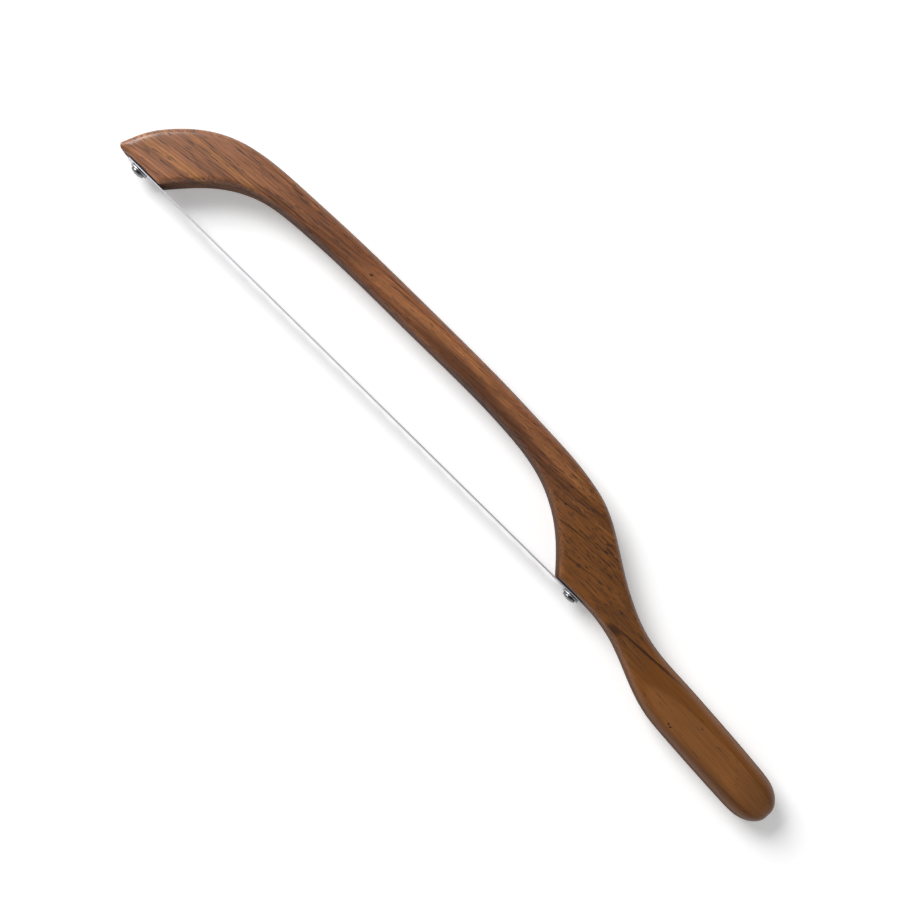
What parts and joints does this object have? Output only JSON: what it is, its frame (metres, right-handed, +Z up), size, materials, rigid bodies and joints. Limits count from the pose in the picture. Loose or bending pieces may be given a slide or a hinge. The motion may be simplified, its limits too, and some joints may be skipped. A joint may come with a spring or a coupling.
{
  "type": "bread bow knife",
  "caption": "Hardwood bow with a handle in one piece and a scalloped slicing blade stretched across it by screws, for slicing bread beside the bow.",
  "frame": {"origin": "middle of the bounding box, on the flat underside that the knife lies on", "axes": "+X along the blade from the tip to the handle, +Y from the blade to the back of the bow, +Z up, away from the cutting edge"},
  "size_m": [0.4252, 0.0676, 0.018],
  "materials": {
    "bow_wood": "sanded and oiled, satin",
    "blade_steel": "polished along the strip",
    "fastener_steel": "plain stainless"
  },
  "bodies": {
    "knife": {"bow_frame": "bow_wood", "blade": "blade_steel"},
    "tip_washer": {"tip_washer": "fastener_steel"},
    "tip_screw": {"tip_screw": "fastener_steel"},
    "heel_washer": {"heel_washer": "fastener_steel"},
    "heel_screw": {"heel_screw": "fastener_steel"}
  },
  "joints": [
    {"name": "tip_screw_travel", "type": "slide", "parent": "knife", "child": "tip_washer", "axis": [0, -1, 0], "range_m": [0, 0.0143]},
    {"name": "tip_screw_turn", "type": "hinge", "parent": "tip_washer", "child": "tip_screw", "pos_m": [-0.19971, -0.015, 0.009], "axis": [0, -1, 0], "range_deg": [0, 3960]},
    {"name": "heel_screw_travel", "type": "slide", "parent": "knife", "child": "heel_washer", "axis": [0, -1, 0], "range_m": [0, 0.0143]},
    {"name": "heel_screw_turn", "type": "hinge", "parent": "heel_washer", "child": "heel_screw", "pos_m": [0.07829, -0.015, 0.009], "axis": [0, -1, 0], "range_deg": [0, 3960]}
  ],
  "couplings": [
    {"joint": "tip_screw_turn", "follows": "tip_screw_travel", "rad_per_m": 4833.2},
    {"joint": "heel_screw_turn", "follows": "heel_screw_travel", "rad_per_m": 4833.2}
  ]
}
